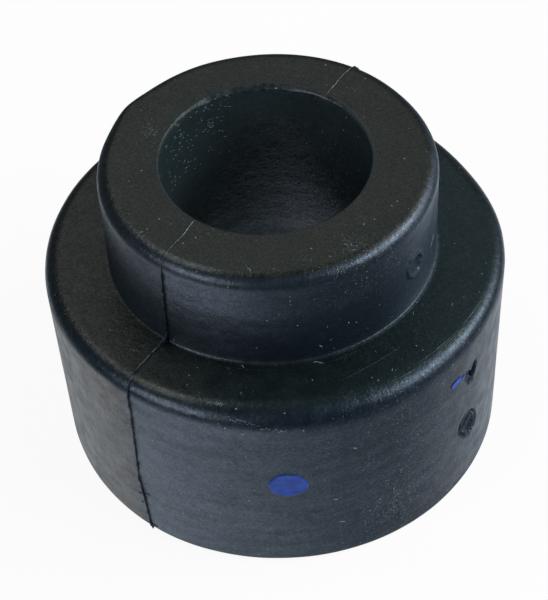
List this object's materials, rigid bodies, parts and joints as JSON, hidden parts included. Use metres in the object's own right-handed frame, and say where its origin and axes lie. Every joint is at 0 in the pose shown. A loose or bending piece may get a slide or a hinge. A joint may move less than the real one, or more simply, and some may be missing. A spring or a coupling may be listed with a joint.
{
  "type": "control arm bushing",
  "caption": "Stepped round rubber bush with a wide barrel, a narrower collar, rounded outer edges and a straight bore through both.",
  "frame": {"origin": "centre of the wide end's flat face, on the bore's axis", "axes": "+Z along the bore towards the collar; the picture looks from -Y and above, with +X to its right"},
  "size_m": [0.075, 0.075, 0.0564],
  "materials": {
    "rubber": "moulded black rubber, half matt, with dust, fine scratches and a dab of blue marking paint"
  },
  "bodies": {
    "root": {"rubber_bushing": "rubber"}
  },
  "joints": []
}
